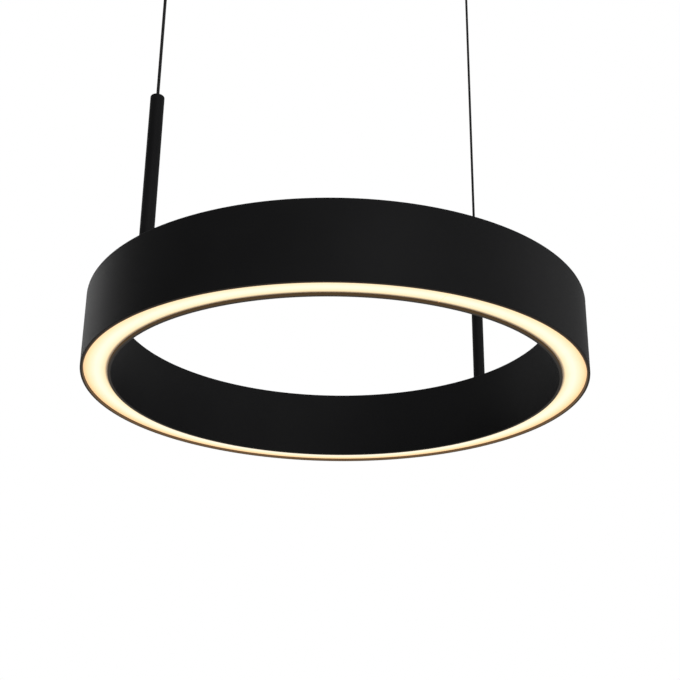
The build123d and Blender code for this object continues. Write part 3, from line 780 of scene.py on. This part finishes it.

# ---- ball stops and grippers ---------------------------------------------------------------------
# Nickel-plated stops are crimped on the cables inside the rods. At the canopy each cable runs up
# through a coated body with turned grooves for the fingers and a nickel sleeve that frees it. A
# coiled wire spring presses the jaws inside down on the cable.
nickel = bare_metal(
    "satin_nickel",
    (0.17, 0.165, 0.155),
    (0.23, 0.225, 0.21),
    smooth=0.34,
    rough=0.46,
    stretch=(0.3, 0.3, 4.0),
)
dress(nickel, "ball_stop_left", "ball_stop_right")
grip_low, grip_high, nipple_high = -52.0, -30.0, -20.0
grip_radius, nipple_radius, wire_bore = 7.21, 5.0, 1.7
guide_radius, cone_low, cone_high = 3.3, -48.0, -40.0
room_radius, room_high = 4.71, -32.0
grip_slant = 1.5
groove_feet = (-46.2, -44.2, -42.2)
groove_radius, groove_slant, groove_width = 6.9, 0.3, 1.0
grip_outline = [
    (guide_radius, grip_low),
    (grip_radius - grip_slant, grip_low),
    (grip_radius, grip_low + grip_slant),
]
for foot in groove_feet:
    grip_outline += [
        (grip_radius, foot),
        (groove_radius, foot + groove_slant),
        (groove_radius, foot + groove_width - groove_slant),
        (grip_radius, foot + groove_width),
    ]
shoulder = len(grip_outline)
grip_outline += [
    (grip_radius, grip_high), (nipple_radius, grip_high), (nipple_radius, nipple_high),
    (wire_bore, nipple_high), (wire_bore, room_high), (room_radius, room_high),
    (room_radius, cone_high), (guide_radius, cone_low),
]
grip_rounds = {1: 0.25, 2: 0.35, shoulder: 0.2, shoulder + 2: 0.5}

sleeve_low, sleeve_high, collar_low = -56.0, -45.3, -46.3
sleeve_radius, collar_radius = 3.2, 3.55
notch_radius, notch_low, notch_high, notch_slant = 3.0, -54.6, -53.8, 0.2
sleeve_outline = [
    (wire_bore, sleeve_low), (sleeve_radius, sleeve_low), (sleeve_radius, notch_low),
    (notch_radius, notch_low + notch_slant), (notch_radius, notch_high - notch_slant),
    (sleeve_radius, notch_high),
    (sleeve_radius, collar_low), (collar_radius, collar_low), (collar_radius, sleeve_high),
    (wire_bore, sleeve_high),
]

coil_radius, coil_wire, coil_turns, coil_steps = 0.00405, 0.00034, 6, 36
coil_low, coil_high, wire_room = -0.04059, -0.03201, 0.00036


def wire_coil():
    """A round wire wound about the Z axis, between its two heights."""
    bm = bmesh.new()
    upright = Matrix.Rotation(pi / 2, 4, "X")
    wire_end = bmesh.ops.create_circle(bm, segments=10, radius=coil_wire, matrix=upright)["verts"]
    bmesh.ops.translate(bm, vec=(coil_radius, 0.0, coil_low + wire_room), verts=wire_end)
    bmesh.ops.spin(
        bm,
        geom=[*bm.verts, *bm.edges],
        cent=(0, 0, 0),
        axis=(0, 0, 1),
        dvec=(0.0, 0.0, (coil_high - coil_low - 2 * wire_room) / (coil_steps * coil_turns)),
        angle=2 * pi * coil_turns,
        steps=coil_steps * coil_turns,
    )
    bmesh.ops.holes_fill(bm, edges=[e for e in bm.edges if e.is_boundary], sides=0)
    bmesh.ops.recalc_face_normals(bm, faces=bm.faces)
    return bm


for side, place in rod_places.items():
    grip_bm = turned_mesh(grip_outline, grip_rounds, steps=64, centre=place)
    mount_piece(
        f"gripper_{side}", grip_bm, [black_coat], "canopy", [f"gripper_body_{side}"]
    )
    sleeve_bm = turned_mesh(sleeve_outline, {0: 0.2, 1: 0.45}, steps=56, centre=place)
    mount_piece(
        f"release_sleeve_{side}",
        sleeve_bm,
        [nickel],
        f"release_{side}",
        [f"gripper_plunger_{side}"],
    )
    coil_bm = wire_coil()
    bmesh.ops.translate(coil_bm, vec=(place[0] / 1000, 0.0, 0.0), verts=coil_bm.verts)
    coil = mount_piece(
        f"grip_spring_{side}", coil_bm, [zinc_plate], "canopy", [f"gripper_spring_{side}"]
    )
    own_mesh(coil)

# ---- canopy --------------------------------------------------------------------------------------
# A long box of folded and welded sheet steel, coated like the ring. A galvanised bracket with two
# slots holds it to the ceiling, and a black screw in each end holds the box to the bracket.
dress(black_coat, "canopy_housing")
galvanised, zinc_tree, zinc_shader = plain_material("galvanised_sheet", Metallic=1.0)
zinc_place = add_node(zinc_tree, "ShaderNodeTexCoord")
zinc_flake = add_node(zinc_tree, "ShaderNodeTexVoronoi", values={"Scale": 160.0})
zinc_base = colour_mix(zinc_tree, (0.34, 0.35, 0.36), (0.50, 0.51, 0.52))
zinc_split = add_node(zinc_tree, "ShaderNodeSeparateColor")
zinc_gloss = add_node(zinc_tree, "ShaderNodeMapRange", values={"To Min": 0.42, "To Max": 0.60})
join(
    zinc_tree,
    (zinc_place, "Object", zinc_flake, "Vector"),
    (zinc_flake, "Color", zinc_split, "Color"),
    (zinc_split, 0, zinc_base, "Factor"),
    (zinc_base, 2, zinc_shader, "Base Color"),
    (zinc_split, 1, zinc_gloss, "Value"),
    (zinc_gloss, 0, zinc_shader, "Roughness"),
)
dress(galvanised, "ceiling_bracket")

black_zinc = bare_metal(
    "black_zinc", (0.012, 0.012, 0.013), (0.022, 0.022, 0.024), smooth=0.30, rough=0.44
)


def socket_screw(head, height, shank, length, across, depth):
    """A pan-head screw with a hexagon socket, its axis on Z and the head's underside at 0, in mm."""
    bm = bmesh.new()
    flats_to_radius = 1.732
    rim = bmesh.ops.create_circle(bm, segments=48, radius=head / 2 / 1000)["verts"]
    socket = bmesh.ops.create_circle(bm, segments=6, radius=across / flats_to_radius / 1000)["verts"]
    bmesh.ops.translate(bm, vec=(0.0, 0.0, height / 1000), verts=bm.verts)
    rim_loop = list(dict.fromkeys(edge for vert in rim for edge in vert.link_edges))
    socket_loop = list(dict.fromkeys(edge for vert in socket for edge in vert.link_edges))
    bmesh.ops.bridge_loops(bm, edges=rim_loop + socket_loop)
    sunk = push_loop(bm, socket_loop, -depth)
    bmesh.ops.contextual_create(bm, geom=sunk)
    under = push_loop(bm, rim_loop, -height)
    neck = push_loop(bm, under, 0.0, shank / head)
    tip = push_loop(bm, neck, -length)
    bmesh.ops.contextual_create(bm, geom=tip)
    bmesh.ops.recalc_face_normals(bm, faces=bm.faces)
    for loop, size, segments in ((rim_loop, 0.0005, 4), (tip, 0.0004, 2)):
        bmesh.ops.bevel(
            bm,
            geom=loop,
            offset=size,
            affect="EDGES",
            segments=segments,
            profile=0.5,
            material=-1,
        )
    return bm


canopy_end, end_screw_height = 0.25, -0.008
end_screws_bm = bmesh.new()
for way in (-1, 1):
    one_bm = socket_screw(head=7.5, height=2.4, shank=4.0, length=5.5, across=2.5, depth=1.3)
    outwards = Matrix.Rotation(way * pi / 2, 3, "Y")
    bmesh.ops.rotate(one_bm, cent=(0, 0, 0), matrix=outwards, verts=one_bm.verts)
    bmesh.ops.translate(one_bm, vec=(way * canopy_end, 0.0, end_screw_height), verts=one_bm.verts)
    one_mesh = bpy.data.meshes.new("one_end_screw")
    one_bm.to_mesh(one_mesh)
    one_bm.free()
    end_screws_bm.from_mesh(one_mesh)
    bpy.data.meshes.remove(one_mesh)
mount_piece(
    "end_screws", end_screws_bm, [black_zinc], "canopy", ["canopy_end_screws"]
)

# ---- grommet, driver and wiring ------------------------------------------------------------------
# What lies in the box: a rubber grommet round the mains entry, a white moulded driver, white
# terminals, and leads in their usual colours. Moulded plastic and rubber have the powder coat's
# kind of grain, but coarser and glossier.
for name, dark, light, smooth, rough, nodes in (
    ("grommet_rubber", (0.018, 0.018, 0.018), (0.028, 0.028, 0.027), 0.6, 0.8, ["entry_grommet"]),
    ("white_case", (0.74, 0.74, 0.72), (0.80, 0.80, 0.78), 0.42, 0.55, ["led_driver"]),
    (
        "white_nylon",
        (0.80, 0.79, 0.75),
        (0.86, 0.85, 0.82),
        0.3,
        0.42,
        ["terminal_block", "output_connectors", "feed_terminal_left", "feed_terminal_right"],
    ),
    (
        "white_insulation",
        (0.78, 0.77, 0.74),
        (0.84, 0.83, 0.80),
        0.35,
        0.5,
        ["driver_input_leads", "rod_lead_left", "rod_lead_right"],
    ),
    (
        "black_insulation",
        (0.012, 0.012, 0.012),
        (0.020, 0.020, 0.020),
        0.35,
        0.5,
        ["driver_output_leads"],
    ),
):
    plastic = powder_coat(
        name, dark, light, smooth, rough, specular=0.45, grain=500.0, depth=0.00003
    )
    dress(plastic, *nodes)

earth, earth_tree, earth_shader = plain_material("earth_insulation", Roughness=0.42)
earth_place = add_node(earth_tree, "ShaderNodeTexCoord")
earth_split = add_node(earth_tree, "ShaderNodeSeparateXYZ")
earth_side = add_node(earth_tree, "ShaderNodeMath", {"operation": "GREATER_THAN"}, {1: 0.0})
earth_base = colour_mix(earth_tree, (0.05, 0.30, 0.06), (0.75, 0.62, 0.05))
join(
    earth_tree,
    (earth_place, "Object", earth_split, "Vector"),
    (earth_split, "Y", earth_side, 0),
    (earth_side, 0, earth_base, "Factor"),
    (earth_base, 2, earth_shader, "Base Color"),
)
dress(earth, "earth_lead")
